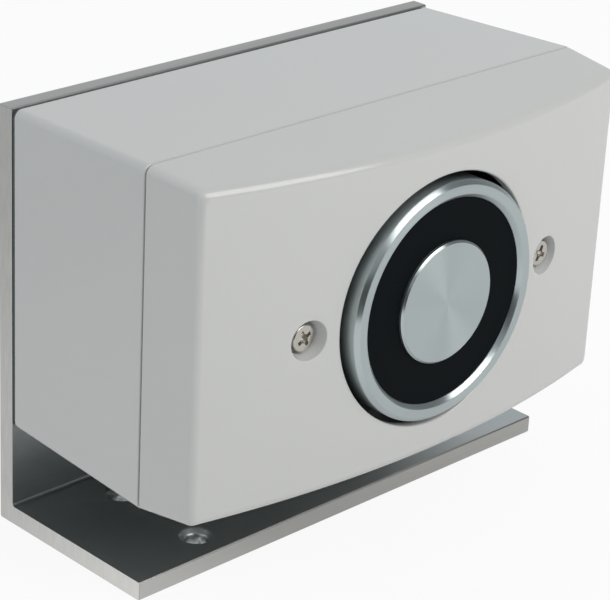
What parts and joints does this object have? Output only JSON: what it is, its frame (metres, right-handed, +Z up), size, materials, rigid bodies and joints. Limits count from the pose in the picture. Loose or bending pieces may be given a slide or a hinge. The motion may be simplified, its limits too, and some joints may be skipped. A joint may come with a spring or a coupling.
{
  "type": "magnetic door holder",
  "caption": "Floor-standing electromagnetic door holder: pot magnet in a moulded grey housing with a bowed screw-on cover, carried by an aluminium angle bracket",
  "frame": {"origin": "centre of the four floor screw holes, on the underside of the bracket's leg", "axes": "+X to the right along the bracket, -Y to the front where the door's armature meets the magnet, +Z up from the floor"},
  "size_m": [0.1344, 0.0764, 0.1037],
  "materials": {
    "bracket_aluminium": "mill finish, satin",
    "gasket_foam": "matte",
    "housing_plastic": "fine satin moulding",
    "plated_screw": "nickel plated",
    "brass": "bright",
    "magnet_steel": "turned and zinc plated",
    "potting_resin": "cast, semi-gloss",
    "bobbin_plastic": "natural nylon",
    "copper_wire": "enamelled",
    "zinc_steel": "zinc plated",
    "grommet_rubber": "matte",
    "board_laminate": "solder resist",
    "terminal_plastic": "moulded",
    "diode_resin": "moulded",
    "lead_red": "extruded",
    "lead_black": "extruded"
  },
  "bodies": {
    "base": {"mounting_bracket": "bracket_aluminium", "rear_gasket": "gasket_foam", "back_box": "housing_plastic", "threaded_inserts": "brass", "magnet_pot": "magnet_steel", "magnet_core": "magnet_steel", "potting_ring": "potting_resin", "coil_bobbin": "bobbin_plastic", "coil_winding": "copper_wire", "carrier_plate": "zinc_steel", "carrier_screws": "zinc_steel", "magnet_bolt": "zinc_steel", "lock_washer": "zinc_steel", "box_screws": "zinc_steel", "box_washers": "zinc_steel", "board_screws": "zinc_steel", "cable_grommet": "grommet_rubber", "circuit_board": "board_laminate", "terminal_block": "terminal_plastic", "terminal_clamps": "brass", "terminal_screws": "zinc_steel", "surge_diode": "diode_resin", "lead_positive": "lead_red", "lead_negative": "lead_black"},
    "cover": {"front_cover": "housing_plastic"},
    "screw_left": {"cover_screw_left": "plated_screw"},
    "screw_right": {"cover_screw_right": "plated_screw"}
  },
  "joints": [
    {"name": "cover_off", "type": "slide", "parent": "base", "child": "cover", "axis": [0, -1, 0], "range_m": [0, 0.045]},
    {"name": "screw_left_turn", "type": "hinge", "parent": "cover", "child": "screw_left", "pos_m": [-0.0382, -0.0398, 0.06365], "axis": [0, -1, 0], "continuous": true},
    {"name": "screw_right_turn", "type": "hinge", "parent": "cover", "child": "screw_right", "pos_m": [0.0382, -0.0398, 0.06365], "axis": [0, -1, 0], "continuous": true}
  ]
}
